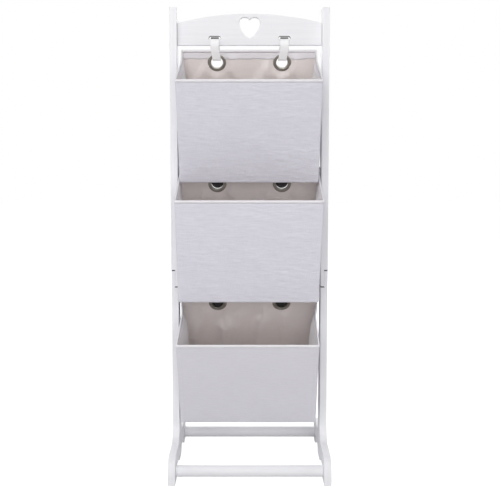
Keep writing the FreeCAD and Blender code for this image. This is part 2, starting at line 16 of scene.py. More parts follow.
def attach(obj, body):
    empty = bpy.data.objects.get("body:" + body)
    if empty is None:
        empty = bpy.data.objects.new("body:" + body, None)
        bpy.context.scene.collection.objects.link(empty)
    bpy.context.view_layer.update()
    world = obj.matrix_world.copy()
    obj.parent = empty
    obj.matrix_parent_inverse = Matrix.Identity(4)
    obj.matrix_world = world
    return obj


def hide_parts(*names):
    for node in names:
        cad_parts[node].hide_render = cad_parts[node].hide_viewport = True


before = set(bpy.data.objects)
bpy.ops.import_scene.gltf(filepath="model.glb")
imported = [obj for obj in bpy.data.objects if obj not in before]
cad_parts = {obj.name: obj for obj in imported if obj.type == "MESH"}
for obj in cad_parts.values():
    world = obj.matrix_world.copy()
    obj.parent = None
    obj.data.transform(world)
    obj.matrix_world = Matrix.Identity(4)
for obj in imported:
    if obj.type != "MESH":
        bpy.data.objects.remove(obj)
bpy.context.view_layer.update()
scene = bpy.context.scene
scene.view_settings.view_transform = "Standard"
MM = 0.001

# %% [markdown]
# ## The camera
# The photograph was taken from straight in front, a little above the middle, through a long lens. A level
# camera with a shifted lens would keep the posts quite upright, but so large a shift would cut the rack off
# in other views. So the camera looks down by a few degrees, and a small shift does the rest. The numbers
# come from fitting the posts, rims and feet of the model to the same points of the photograph.

# %% Camera
PHOTO_WIDTH = 500
FOCAL_PIXELS = 944.0
LENS_SHIFT = -0.035
CAMERA_PLACE = (0.001, -2.278, 0.7966)
LOOK_DOWN = 0.10046

camera_lens = bpy.data.cameras.new("front_camera")
camera_lens.lens = FOCAL_PIXELS / PHOTO_WIDTH * camera_lens.sensor_width
camera_lens.shift_y = LENS_SHIFT
camera = bpy.data.objects.new("front_camera", camera_lens)
camera.location = CAMERA_PLACE
camera.rotation_euler = (math.radians(90) - LOOK_DOWN, 0, 0)
scene.collection.objects.link(camera)
scene.camera = camera
print("lens", round(camera_lens.lens, 2), "mm, looking down", round(math.degrees(LOOK_DOWN), 1), "degrees")

# %% [markdown]
# ## A helper for nodes and finishes
# A finish is a small chain of nodes: a pattern, the colours it mixes, and the roughness and bump it gives.
# Wired by hand, each chain would fill a page. The helpers below add one node at a time, and take either a
# plain value or another node's output for each input, so a chain reads from its start to its end.


# %% Node and finish helpers
def feed(tree, socket, value):
    """Links an input to another node's output, or sets it to a plain value."""
    if isinstance(value, bpy.types.NodeSocket):
        tree.links.new(value, socket)
    else:
        socket.default_value = value


def add_node(tree, kind, inputs=None, **settings):
    """Adds a node with its settings, and then its inputs by name or number."""
    made = tree.nodes.new(kind)
    for setting, value in settings.items():
        setattr(made, setting, value)
    for key, value in (inputs or {}).items():
        feed(tree, made.inputs[key], value)
    return made


def srgb(red, green, blue):
    """A colour as a paint chart gives it, 0 to 255, as Blender's linear colour."""
    def linear(c):
        c /= 255
        return c / 12.92 if c <= 0.04045 else ((c + 0.055) / 1.055) ** 2.4
    return (linear(red), linear(green), linear(blue), 1.0)


class Finish:
    """A material that is built up node by node."""

    def __init__(self, name):
        self.material = bpy.data.materials.new(name)
        self.material.use_nodes = True
        self.tree = self.material.node_tree
        self.surface = self.tree.nodes["Principled BSDF"]

    def add(self, kind, inputs=None, **settings):
        return add_node(self.tree, kind, inputs, **settings)

    def set(self, **inputs):
        """Sets inputs of the shader. A space in an input's name is written as an underscore."""
        for key, value in inputs.items():
            feed(self.tree, self.surface.inputs[key.replace("_", " ")], value)

    def object_place(self):
        return self.add("ShaderNodeTexCoord").outputs["Object"]

    def cloth_place(self):
        return self.add("ShaderNodeTexCoord").outputs["UV"]

    def stretch(self, vector, sizes):
        return self.add("ShaderNodeMapping", {"Vector": vector, "Scale": sizes}).outputs[0]

    def noise(self, vector, scale, detail=2.0, rough=0.5):
        return self.add("ShaderNodeTexNoise", {"Vector": vector, "Scale": scale, "Detail": detail,
                                               "Roughness": rough}).outputs["Fac"]

    def math(self, operation, first, second=0.0):
        return self.add("ShaderNodeMath", {0: first, 1: second}, operation=operation).outputs[0]

    def weigh(self, first, first_share, second, second_share):
        """Two patterns added up, each by its share."""
        return self.math("ADD", self.math("MULTIPLY", first, first_share),
                         self.math("MULTIPLY", second, second_share))

    def wave(self, run, pitch):
        """A sine wave along one direction of the cloth, with one crest for each pitch in millimetres."""
        return self.math("SINE", self.math("MULTIPLY", run, 2 * math.pi / (pitch * MM)))

    def ramp(self, pattern, low, high, start=0.3, end=0.7):
        """A pattern spread out to run from low to high."""
        return self.add("ShaderNodeMapRange", {"Value": pattern, "From Min": start, "From Max": end,
                                               "To Min": low, "To Max": high}).outputs[0]

    def tones(self, pattern, first, second, start=0.3, end=0.7):
        """Two colours mixed by a pattern."""
        share = self.ramp(pattern, 0.0, 1.0, start, end)
        return self.add("ShaderNodeMix", {0: share, 6: first, 7: second}, data_type="RGBA").outputs[2]

    def bump(self, height, strength, distance):
        """Relief from a pattern of heights. The distance is in metres."""
        relief = self.add("ShaderNodeBump", {"Height": height, "Strength": strength, "Distance": distance})
        self.set(Normal=relief.outputs[0])


print("node and finish helpers ready")

# %% [markdown]
# ## Light and floor
# A catalogue picture has a white sheet behind the product and big soft lamps round it. The white sheet
# could be lit until it burns out, but that light would also wash out the rack. Here the world is white only
# for the camera and for what mirrors it, and the floor glows only for the camera. The light on the rack is
# set on its own: two soft boxes in front, a weaker one at each side, and one behind, which keeps the back
# white too.

# %% World, lamps and floor
ROOM_LIGHT = 0.38
FLOOR_GLOW = 0.74
FLOOR_HALF = 9.0

world = bpy.data.worlds.new("white_studio")
scene.world = world
world.use_nodes = True
sky = world.node_tree
sky.nodes.clear()
rays = add_node(sky, "ShaderNodeLightPath").outputs
seen = add_node(sky, "ShaderNodeMath", {0: rays["Is Camera Ray"], 1: rays["Is Glossy Ray"]},
                operation="MAXIMUM").outputs[0]
seen = add_node(sky, "ShaderNodeMath", {0: seen, 1: rays["Is Transmission Ray"]},
                operation="MAXIMUM").outputs[0]
room = add_node(sky, "ShaderNodeBackground", {"Color": (0.98, 0.98, 1.0, 1),
                                              "Strength": ROOM_LIGHT}).outputs[0]
sheet = add_node(sky, "ShaderNodeBackground", {"Color": (1, 1, 1, 1), "Strength": 1.0}).outputs[0]
choice = add_node(sky, "ShaderNodeMixShader", {"Fac": seen, 1: room, 2: sheet}).outputs[0]
add_node(sky, "ShaderNodeOutputWorld", {"Surface": choice})


def soft_lamp(name, place, aim, size, watts):
    """A square soft box that points at a spot of the rack. Its place, aim and size are in metres."""
    lamp = bpy.data.lights.new(name, "AREA")
    lamp.shape = "SQUARE"
    lamp.size = size
    lamp.energy = watts
    holder = bpy.data.objects.new(name, lamp)
    holder.location = place
    holder.rotation_euler = (Vector(aim) - Vector(place)).to_track_quat("-Z", "Y").to_euler()
    scene.collection.objects.link(holder)


soft_lamp("lamp_in_front", (0.1, -3.0, 0.9), (0, 0, 0.5), 1.5, 24.5)
soft_lamp("lamp_above_front", (-0.6, -1.9, 2.4), (0, 0, 0.5), 1.2, 22)
soft_lamp("lamp_behind", (0.0, 2.9, 1.6), (0, 0, 0.6), 1.5, 44)
soft_lamp("lamp_left", (-3.0, -0.4, 1.4), (0, 0, 0.6), 1.4, 10)
soft_lamp("lamp_right", (3.0, -0.4, 1.4), (0, 0, 0.6), 1.4, 10)

floor_finish = Finish("pale_floor")
floor_finish.set(Base_Color=(0.7, 0.7, 0.7, 1), Roughness=0.9, Specular_IOR_Level=0.1)
to_camera = floor_finish.add("ShaderNodeLightPath").outputs["Is Camera Ray"]
glow_share = floor_finish.math("MULTIPLY", to_camera, FLOOR_GLOW)
glow = floor_finish.add("ShaderNodeEmission", {"Strength": glow_share})
lit = floor_finish.add("ShaderNodeAddShader", {0: floor_finish.surface.outputs[0], 1: glow.outputs[0]})
feed(floor_finish.tree, floor_finish.tree.nodes["Material Output"].inputs["Surface"], lit.outputs[0])

floor_mesh = bpy.data.meshes.new("studio_floor")
floor_mesh.from_pydata([(x * FLOOR_HALF, y * FLOOR_HALF, 0) for x, y in ((-1, -1), (1, -1), (1, 1), (-1, 1))],
                       [], [(0, 1, 2, 3)])
floor_mesh.materials.append(floor_finish.material)
studio_floor = bpy.data.objects.new("studio_floor", floor_mesh)
scene.collection.objects.link(studio_floor)
print("lamps", len(bpy.data.lights))

# %% [markdown]
# ## Painted wood
# The boards are sprayed with a satin white that still lets a trace of the grain through. Plain white would
# look like plastic. Grain is noise that is stretched along the board, so uprights and crosspieces need it
# turned. A fine noise gives the slight orange peel of sprayed paint, and a slow one changes the sheen from
# place to place. Inside the half-laps and the strap slots the faces get a near-black finish: painted shade
# of the narrow gaps.


# %% White paint on uprights and on crosspieces, and painted gap shade
def white_paint(name, grain_sizes):
    """Sprayed satin white, with the grain's stretch along x, y and z."""
    paint = Finish(name)
    place = paint.object_place()
    grain = paint.noise(paint.stretch(place, grain_sizes), 1.0, 4.0, 0.6)
    sheen_patches = paint.noise(place, 9.0, 2.0)
    peel = paint.noise(place, 620.0, 1.0)
    paint.set(Base_Color=paint.tones(grain, srgb(237, 237, 240), srgb(242, 242, 244)),
              Roughness=paint.ramp(sheen_patches, 0.5, 0.62), Specular_IOR_Level=0.3)
    paint.bump(paint.weigh(grain, 0.5, peel, 0.5), 0.06, 0.0006)
    return paint.material


def fibrous(name, fibre_sizes, detail, dark, light, roughness, relief, depth):
    """A matt finish of fibres in two tones, with the fibres' stretch along x, y and z."""
    finish = Finish(name)
    fibres = finish.noise(finish.stretch(finish.object_place(), fibre_sizes), 1.0, detail)
    finish.set(Base_Color=finish.tones(fibres, dark, light), Roughness=roughness)
    finish.bump(fibres, relief, depth)
    return finish.material


upright_paint = white_paint("white_paint_upright", (170.0, 170.0, 7.0))
crosspiece_paint = white_paint("white_paint_crosspiece", (7.0, 170.0, 170.0))
# Near-black finish for faces inside the slots and half-laps: painted shade of the narrow gaps.
painted_gap_shade = fibrous("painted_gap_shade", (400.0, 400.0, 60.0), 3.0, srgb(44, 41, 38), srgb(66, 61, 56),
                   0.85, 0.2, 0.0005)
print("wood finishes made:", upright_paint.name, crosspiece_paint.name, painted_gap_shade.name)

# %% [markdown]
# ## Cloth finishes
# The canvas is a plain weave with slubs: threads that are thicker for a few centimetres. Its pattern lies
# on the UV map, which is in metres along each panel, so the threads run straight down the fronts and turn
# with the panels. The weave itself is two sine waves. The slubs are noise stretched along the weft and the
# warp, and a broader noise crumples the cloth. The bottom basket has a calmer canvas. The lining is beige
# on its wide walls and whiter at the sides, partly its own colour and partly painted light that comes
# through the thin side cloth. The straps are ribbed webbing, with painted shade in the grooves between the
# ribs. A near-black tape paints the shade in the headboard's slots and behind the eyelets.


# %% Canvas, lining, binding, webbing and hook tape
def woven_cloth(name, thin_colour, thick_colour, pitch, slub_share, crumple_share, roughness, sheen):
    """A plain weave in the colours of its thin and thick threads, with the threads' pitch in millimetres."""
    cloth = Finish(name)
    place = cloth.cloth_place()
    run = cloth.add("ShaderNodeSeparateXYZ", {0: place}).outputs
    weave = cloth.math("MULTIPLY", cloth.wave(run[0], pitch), cloth.wave(run[1], pitch))
    weft_slubs = cloth.noise(cloth.stretch(place, (42.0, 330.0, 1.0)), 1.0, 3.0, 0.6)
    warp_slubs = cloth.noise(cloth.stretch(place, (600.0, 40.0, 1.0)), 1.0, 2.0)
    slubs = cloth.weigh(weft_slubs, 0.86, warp_slubs, 0.14)
    crumple = cloth.noise(cloth.stretch(place, (26.0, 95.0, 1.0)), 1.0, 4.0, 0.55)
    slow = cloth.noise(place, 14.0, 3.0)
    crumpled_patches = cloth.ramp(slow, 0.3 * crumple_share, 1.7 * crumple_share)
    cloth.set(Base_Color=cloth.tones(cloth.weigh(slubs, 0.75, slow, 0.25), thin_colour, thick_colour),
              Roughness=roughness, Specular_IOR_Level=0.25, Sheen_Weight=sheen, Sheen_Roughness=0.5)
    threads = cloth.weigh(weave, 0.25 * (1 - slub_share), slubs, slub_share)
    cloth.bump(cloth.math("ADD", threads, cloth.math("MULTIPLY", crumple, crumpled_patches)), 0.6, 0.0014)
    return cloth.material


def ribbed_webbing(name, shaded_groove_colour, rib_colour):
    """Ribs run across the webbing and finer threads along it, under a slight fuzz. The grooves get a darker
    colour: painted shade.
    """
    webbing = Finish(name)
    place = webbing.cloth_place()
    run = webbing.add("ShaderNodeSeparateXYZ", {0: place}).outputs
    ribs, warps = webbing.wave(run[1], 1.5), webbing.wave(run[0], 1.0)
    height = webbing.math("ADD", webbing.weigh(ribs, 0.3, warps, 0.14), webbing.noise(place, 900.0, 2.0))
    webbing.set(Base_Color=webbing.tones(height, shaded_groove_colour, rib_colour, 0.1, 0.9), Roughness=0.78,
                Specular_IOR_Level=0.3, Sheen_Weight=0.06)
    webbing.bump(height, 0.35, 0.0005)
    return webbing.material


pale_canvas = woven_cloth("pale_canvas", srgb(218, 216, 225), srgb(229, 227, 235), 1.1, 0.7, 2.2, 0.85, 0.08)
calm_canvas = woven_cloth("calm_canvas", srgb(228, 226, 232), srgb(236, 234, 240), 1.1, 0.5, 0.5, 0.85, 0.08)
beige_lining = woven_cloth("beige_lining", srgb(244, 235, 232), srgb(249, 242, 239), 0.7, 0.4, 1.2, 0.88,
                           0.05)
# Whiter lining for the side walls: partly its own colour, partly painted light through the thin side cloth.
side_lining_painted_light = woven_cloth("side_lining_painted_light", srgb(248, 246, 248), srgb(252, 251, 252), 0.7, 0.4, 1.2, 0.88, 0.05)
hem_cloth = woven_cloth("hem_cloth", srgb(246, 243, 247), srgb(252, 250, 253), 0.7, 0.4, 1.2, 0.86, 0.05)
rim_cloth = woven_cloth("rim_cloth", srgb(240, 237, 240), srgb(248, 246, 249), 0.6, 0.4, 0.6, 0.8, 0.05)
white_webbing = ribbed_webbing("white_webbing", srgb(246, 245, 247), srgb(254, 254, 254))
# Near-black tape: painted shade in the headboard's slots and behind the eyelets.
painted_shade_tape = fibrous("painted_shade_tape", (1500.0, 1500.0, 1500.0), 2.0, srgb(40, 38, 37), srgb(66, 63, 61),
                         0.95, 0.6, 0.0008)
print("cloth finishes made, materials so far:", len(bpy.data.materials))

# %% [markdown]
# ## Metal, board and thread
# The eyelets are dull pressed steel, the screws bright zinc. A plain grey would look like plastic, so both
# get fine scratches as stretched noise in the roughness, and duller patches. The stiffeners inside the
# walls are grey board with visible fibres, and the thread is off-white.


# %% Eyelet steel, zinc, grey board and thread
def worn_metal(name, colour, low_rough, high_rough):
    """Metal with duller patches, and with scratches that change its roughness."""
    metal = Finish(name)
    place = metal.object_place()
    scratches = metal.noise(metal.stretch(place, (900.0, 120.0, 900.0)), 1.0, 2.0)
    patches = metal.noise(place, 90.0, 3.0)
    dull = tuple(c * 0.8 for c in colour[:3]) + (1.0,)
    metal.set(Base_Color=metal.tones(patches, dull, colour), Metallic=1.0,
              Roughness=metal.ramp(scratches, low_rough, high_rough))
    metal.bump(scratches, 0.08, 0.0003)
    return metal.material


eyelet_steel = worn_metal("eyelet_steel", srgb(172, 168, 160), 0.36, 0.5)
screw_zinc = worn_metal("screw_zinc", srgb(205, 207, 210), 0.26, 0.4)
grey_board = fibrous("grey_board", (60.0, 500.0, 500.0), 3.0, srgb(150, 143, 132), srgb(182, 175, 163),
                     0.9, 0.3, 0.0005)
thread = Finish("pale_thread")
ply = thread.noise(thread.object_place(), 2200.0, 1.0)
thread.set(Base_Color=thread.tones(ply, srgb(206, 203, 209), srgb(238, 236, 240)), Roughness=0.7)
pale_thread = thread.material
print("materials in all:", len(bpy.data.materials))

# %% [markdown]
# ## The wooden frame
# The CAD boards have knife-sharp edges. On the real frame every edge is sanded before painting, which is
# what catches the light along the posts. The half-lap shows as a fine dark line from the bevel together
# with painted shade on the joint's faces. The CAD mesh may not be changed, so each board is copied, its
# loose triangles are merged, flat areas become one face, and a bevel of even width rounds the edges. The
# edges of screw holes stay sharp, as drilled. The wide sides are shaded flat, because smooth shading across
# such large faces would leave grey wedges on them. The copy then stands for the CAD board.

# %% Boards and bars with eased edges
BOARD_EASE, BAR_EASE = 1.3, 0.8
SLOT_X, SLOT_Z = 82.5, 1030.25
SLOT_INSIDE, SLOT_EDGES = (15.0, 5.6), (17.0, 6.0)
SLOT_SANDING = 0.3
LAP_LOW, LAP_HIGH = 436.0, 480.0
SCREW_AXES = ((0, 1027.5), (0, 1051.5), (15, 712.7), (10, 432.1), (14, 458), (-14, 458), (148, 24.5),
              (-148, 24.5))
BORE_REACH = 8.0
SAME_POINT = 0.00002
FLAT_ENOUGH = 0.9995


def plain_mesh(piece, name):
    """The piece's shape with its modifiers worked in, as a mesh of its own."""
    bpy.context.view_layer.update()
    evaluated = piece.evaluated_get(bpy.context.evaluated_depsgraph_get())
    made = bpy.data.meshes.new_from_object(evaluated)
    made.name = name
    return made


def add_piece(name, mesh, body, stands_for=()):
    """Links a finished mesh, lets it ride on its body and hides the CAD parts it stands for."""
    piece = bpy.data.objects.new(name, mesh)
    scene.collection.objects.link(piece)
    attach(piece, body)
    if stands_for:
        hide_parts(*stands_for)


def near_slot(point, reach):
    """Whether a point is within reach, across and up, of the middle of a strap slot in the headboard."""
    return abs(abs(point.x / MM) - SLOT_X) < reach[0] and abs(point.z / MM - SLOT_Z) < reach[1]


def in_slot_or_lap(node, face):
    """Whether a board's face lies inside a strap slot or a half-lap, where a near-black finish paints the
    gap's shade.
    """
    if node == "headboard":
        return near_slot(face.center, SLOT_INSIDE) and abs(face.normal.y) < 0.97
    return abs(face.normal.z) > 0.2 and LAP_LOW < face.center.z / MM < LAP_HIGH


def in_bore(place):
    """Whether a point lies in a screw or bolt hole. All of these run across, at a known depth and height."""
    return any(math.hypot(place.y / MM - y, place.z / MM - z) < BORE_REACH for y, z in SCREW_AXES)


def sanding(side):
    """The share of the rounding that an edge gets: none in a bore, a little round a strap slot, or all."""
    if not side.is_convex or side.calc_face_angle(0.0) < math.radians(32):
        return 0.0
    if all(in_bore(corner.co) for corner in side.verts):
        return 0.0
    middle = (side.verts[0].co + side.verts[1].co) / 2
    return SLOT_SANDING if near_slot(middle, SLOT_EDGES) else 1.0


def eased(node, paint, edge, is_board):
    """A copy of a CAD board or bar with rounded edges, in paint. A board's wide sides are shaded flat."""
    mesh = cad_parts[node].data.copy()
    shape = bmesh.new()
    shape.from_mesh(mesh)
    bmesh.ops.remove_doubles(shape, verts=shape.verts, dist=SAME_POINT)
    bmesh.ops.dissolve_limit(shape, angle_limit=math.radians(0.6), verts=shape.verts, edges=shape.edges)
    bmesh.ops.recalc_face_normals(shape, faces=shape.faces)
    sanded = shape.edges.layers.float.new("bevel_weight_edge")
    for side in shape.edges:
        side[sanded] = sanding(side)
    shape.to_mesh(mesh)
    shape.free()
    rough = bpy.data.objects.new("rough_" + node, mesh)
    scene.collection.objects.link(rough)
    rounding = rough.modifiers.new("eased_edges", "BEVEL")
    rounding.width = edge * MM
    rounding.segments = 3
    rounding.limit_method = "WEIGHT"
    rounding.loop_slide = False
    rounding.use_clamp_overlap = False
    made = plain_mesh(rough, "painted_" + node)
    bpy.data.objects.remove(rough)
    made.materials.clear()
    made.materials.append(paint)
    made.materials.append(painted_gap_shade)
    made.set_sharp_from_angle(angle=math.radians(40))
    for face in made.polygons:
        # Faces inside the slots and laps get the near-black finish, painted shade of the gaps.
        face.material_index = 1 if is_board and in_slot_or_lap(node, face) else 0
        face.use_smooth = not (is_board and max(abs(part) for part in face.normal) > FLAT_ENOUGH)
    add_piece("painted_" + node, made, "frame", [node])


for node in ("left_upper_post", "right_upper_post", "left_leg", "right_leg"):
    eased(node, upright_paint, BOARD_EASE, True)
eased("headboard", crosspiece_paint, BOARD_EASE, True)
for node in ("front_stretcher", "rear_stretcher", "middle_rail", "lower_rail"):
    eased(node, crosspiece_paint, BAR_EASE, False)
for node in ("headboard_screws", "rail_screws", "stretcher_screws", "lap_bolts", "lap_nuts"):
    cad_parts[node].data.materials.clear()
    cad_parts[node].data.materials.append(screw_zinc)

# %% [markdown]
# ## Where a basket hangs
# The three baskets are sewn from one pattern, but each hangs in its own way: at its own tilt, a little
# wider or narrower, its front to one side, with its own folds in the lining. Each basket is drawn upright
# in its own frame: x across, y to the back and z up, with the middle of the back rim as zero. It is then
# tilted and moved to its place, so one set of functions serves all three.

# %% Basket places
BASKET_HEIGHT = 258.0
BASKET_DEPTH = 188.0
RIM_HALF = 165.5
SIDE_TAPER = 4.0
EDGE_RADIUS = 3.5
EYELET_X = 78.0
EYELET_Z = -31.0


class Basket:
    """One basket's place, and how its cloth has given.

    rim is how far back and how high the rim's middle lies. bar_turn is the circle that the straps make
    round their bar: back, up and radius. crease is how far the side walls fold in at the rim and below it.
    A give is how much wider one side is at the rim's back, at the rim's front and at the floor. sway moves
    the front rim to one side. A fold in the lining's back wall runs from x, z to x, z, and has a height and
    two widths, one for its steep and one for its soft side.
    """

    def __init__(self, name, tilt, rim, bar_turn, seed, crease, left_give, right_give, sway, folds):
        self.name = name
        self.body = name + "_basket"
        self.tilt = math.radians(tilt)
        self.bar_turn = bar_turn
        self.seed = seed
        self.crease = crease
        self.left_give = left_give
        self.right_give = right_give
        self.sway = sway
        self.folds = folds
        back, up = rim
        self.matrix = Matrix.Translation((0, back * MM, up * MM)) @ Matrix.Rotation(self.tilt, 4, "X")

    def place(self, point):
        return self.matrix @ (Vector(point) * MM)


baskets = [
    Basket("top", tilt=25.5, rim=(-8.0, 1003.9), bar_turn=(11.354, 5.221, 15.622), seed=3.1,
           crease=(2.5, 14.0), left_give=(-4.0, -1.5, 2.0), right_give=(-6.0, -2.0, 0.0), sway=-1.0,
           folds=[(52, -34, 2, -110, 12.0, 11, 34), (-54, -36, -8, -104, 6.0, 10, 24),
                  (104, -40, 140, -96, 6.0, 9, 22), (-104, -38, -140, -92, 7.0, 9, 22),
                  (-80, -56, -96, -140, 5.0, 9, 16), (82, -58, 60, -150, 7.0, 9, 24)]),
    Basket("middle", tilt=18.5, rim=(-1.827, 715.749), bar_turn=(15.0, -8.2, 12.8), seed=7.7,
           crease=(-2.0, 10.0), left_give=(3.0, 2.5, 6.0), right_give=(1.5, 1.5, 0.0), sway=0.0,
           folds=[(52, -46, -2, -112, 12.0, 10, 32), (-52, -44, -6, -110, 8.0, 9, 26),
                  (-80, -58, -66, -150, 6.0, 9, 18), (106, -52, 136, -110, 7.0, 9, 22),
                  (-106, -52, -140, -110, 7.0, 9, 22), (82, -58, 90, -140, 6.0, 9, 18)]),
    Basket("bottom", tilt=31.0, rim=(-0.179, 419.958), bar_turn=(15.0, 5.2, 12.8), seed=12.4,
           crease=(5.5, 14.0), left_give=(4.0, 0.5, 7.0), right_give=(3.5, -2.5, 0.0), sway=-3.0,
           folds=[(-62, -104, -66, -215, 16.0, 12, 28), (-26, -70, -30, -210, 9.0, 10, 20),
                  (28, -86, 16, -215, 14.0, 12, 32), (84, -58, 100, -200, 8.0, 10, 22),
                  (-108, -54, -136, -150, 7.0, 9, 18)]),
]
print("baskets:", [basket.name for basket in baskets])

# %% [markdown]
# ## Cloth walls
# A sewn basket could be modelled as a plain box, but cloth has no knife edges and never lies quite flat.
# Here a grid is laid over the box, with its lines close together where the edges are rounded. Each grid
# point is then moved: round the edge, in along the crease of the side walls where the basket folds flat,
# out or in by small wrinkles and folds, and at last to where the hung basket has given way. The same rule
# places the binding and the stitches later, so they lie on the cloth.

# %% Cloth pattern
ACROSS, ALONG, DOWN = 88, 48, 66
EDGE_SHARES = (0.0, 0.423, 0.732, 1.0)
CREASE_SHARE = 0.4
CREASE_BLUNT = 0.08
OUTWARD = {"front": Vector((0, -1, 0)), "back": Vector((0, 1, 0)), "left": Vector((-1, 0, 0)),
           "right": Vector((1, 0, 0)), "floor": Vector((0, 0, -1))}


class Layer:
    """The outer faces of one layer of cloth: half width, back, front and floor in the basket's own frame."""

    def __init__(self, inset_side, inset_wall, inset_floor):
        self.half = RIM_HALF - inset_side
        self.back = 0.0 - inset_wall
        self.front = inset_wall - BASKET_DEPTH
        self.floor = inset_floor - BASKET_HEIGHT


COVER = Layer(0.0, 0.0, 0.0)
LINING = Layer(1.3, 3.4, 6.4)
HEM = Layer(2.3, 4.4, 7.4)


def clamp(value, low, high):
    return max(low, min(high, value))


def ease(value, start, end):
    """A soft step from 0 at start to 1 at end."""
    share = clamp((value - start) / (end - start), 0.0, 1.0)
    return share * share * (3 - 2 * share)


def side_crease(basket, y, z):
    """How far a side wall folds inward: a soft V over the depth, deepest a little below the rim."""
    forward = clamp(-y / BASKET_DEPTH, 0.0, 1.0)
    across = (forward - CREASE_SHARE) / (CREASE_SHARE if forward < CREASE_SHARE else 1 - CREASE_SHARE)
    tallest = math.hypot(1, CREASE_BLUNT)
    ridge = (tallest - math.hypot(across, CREASE_BLUNT)) / (tallest - CREASE_BLUNT)
    down = clamp(-z / BASKET_HEIGHT, 0.0, 1.0)
    at_rim, below = basket.crease
    return max(ridge, 0.0) * ((1 - down) * at_rim + below * math.sin(math.pi * down ** 0.7))


def fold_height(fold, x, z):
    """How high a loose fold of the lining stands at a point: a ridge, steep on one side, lower at its end."""
    x0, z0, x1, z1, height, steep, soft = fold
    run = Vector((x1 - x0, z1 - z0))
    away = Vector((x - x0, z - z0))
    share = clamp(away.dot(run) / run.length_squared, 0.0, 1.0)
    gap = (away - run * share).length
    width = steep if run.cross(away) < 0 else soft
    return height * math.exp(-((gap / width) ** 2)) * (1 - 0.4 * share)


def wrinkle(basket, layer, face, x, y, z):
    """How far the cloth stands off its flat pattern: outward on the cover, into the basket on the lining.

    It fades out towards the edges of the panel and round the eyelets. On the side walls it goes either way.
    """
    seed = basket.seed
    from_side, from_floor, from_rim = layer.half - abs(x), z - layer.floor, -z
    from_back, from_front = -y, y + BASKET_DEPTH
    if face in ("left", "right"):
        edge = (ease(from_back, 4, 26) * ease(from_front, 4, 26) * ease(from_floor, 4, 26)
                * ease(from_rim, 3, 20))
        seed += 0.0 if face == "left" else 40.0
        broad = noise.noise(Vector((y / 44, z / 30, seed)))
        fine = noise.noise(Vector((y / 15, z / 24, seed + 9)))
        return edge * (1.3 * broad + 0.5 * fine)
    if face == "floor":
        edge = ease(from_side, 4, 22) * ease(from_back, 4, 22) * ease(from_front, 4, 22)
        amount = 0.2 * (0.5 + 0.5 * noise.noise(Vector((x / 50, y / 50, seed))))
    else:
        edge = ease(from_side, 4, 22) * ease(from_floor, 4, 22) * ease(from_rim, 3, 16)
        fine = noise.noise(Vector((x / 62, z / 8.5, seed)))
        broad = noise.noise(Vector((x / 95, z / 34, seed + 5)))
        amount = 0.34 * max(fine, 0.0) + 0.4 * (0.5 + 0.5 * broad)
    if face == "back":
        edge *= ease(math.hypot(abs(x) - EYELET_X, z - EYELET_Z), 22, 38)
    if layer is COVER:
        return edge * amount
    if face == "back":
        for fold in basket.folds:
            amount += fold_height(fold, x, z)
    return -edge * amount


def given_way(basket, point):
    """Where a point lies once the basket has given way: wider or narrower, and its front rim to one side."""
    down = clamp(-point.z / BASKET_HEIGHT, 0.0, 1.0)
    forward = clamp(-point.y / BASKET_DEPTH, 0.0, 1.0)
    back_rim, front_rim, floor = basket.left_give if point.x < 0 else basket.right_give
    rim = back_rim + (front_rim - back_rim) * forward
    point.x *= 1 + (rim + (floor - rim) * down) / RIM_HALF
    point.x += basket.sway * forward * (1 - down)
    return point


def on_cloth(basket, layer, face, x, y, z, lift=0.0):
    """A point of the flat pattern on the sewn basket, in the basket's own frame."""
    core = Vector((clamp(x, EDGE_RADIUS - layer.half, layer.half - EDGE_RADIUS),
                   clamp(y, layer.front + EDGE_RADIUS, layer.back - EDGE_RADIUS),
                   max(z, layer.floor + EDGE_RADIUS)))
    away = Vector((x, y, z)) - core
    outward = away.normalized() if away.length > 1e-6 else OUTWARD[face]
    point = core + outward * (EDGE_RADIUS + lift + wrinkle(basket, layer, face, x, y, z))
    point.x *= 1 - SIDE_TAPER / RIM_HALF * clamp(-z / BASKET_HEIGHT, 0.0, 1.0)
    at_side = ease(abs(x), layer.half * 0.93, layer.half)
    point.x -= math.copysign(side_crease(basket, y, z) * at_side, x)
    return given_way(basket, point)


def pattern_lines(low, high, count):
    """Grid lines across a panel, close together where its edges are rounded."""
    inner = high - low - 2 * EDGE_RADIUS
    even = [low + EDGE_RADIUS + inner * step / count for step in range(1, count)]
    return ([low + EDGE_RADIUS * share for share in EDGE_SHARES] + even
            + [high - EDGE_RADIUS * share for share in reversed(EDGE_SHARES)])


print("pattern grid:", ACROSS, "across,", ALONG, "deep,", DOWN, "down")

# %% [markdown]
# ## Covers, linings and hems
# The cover is the outer canvas, the lining the cloth inside, and the hem a strip of canvas sewn round the
# top of the inside. They could be three models, but all three are the same grid at different insets, so
# they can't drift apart. The back wall has two holes for the eyelets: grid faces are taken out there and
# the edge of the hole is pulled to a circle, which the eyelet's flange covers. Solidify gives each sheet
# its thickness towards the inside. The stiffeners between cover and lining are copies of the CAD boards
# that give way with the cloth.

# %% Sew the cloth
CLOTH_TOP, HEM_LOW = -5.1, -22.0
COVER_THICK, LINING_THICK, HEM_THICK = 1.2, 1.0, 0.5
HEM_ROWS = 5
HOLE_RADIUS = 15.7
PANEL_SHIFT = {"front": (0, 0), "back": (900, 0), "left": (-700, 0), "right": (1700, 0), "floor": (0, -600)}
PANELS = ("front_panel", "back_panel", "left_panel", "right_panel", "base_panel")


def placed_mesh(shape, basket, name, finishes):
    """A mesh at the basket's place, of a shape that was drawn in the basket's own frame."""
    mesh = bpy.data.meshes.new(name)
    for vert in shape.verts:
        vert.co = basket.place(vert.co)
    shape.to_mesh(mesh)
    shape.free()
    for finish in finishes:
        mesh.materials.append(finish)
    return mesh


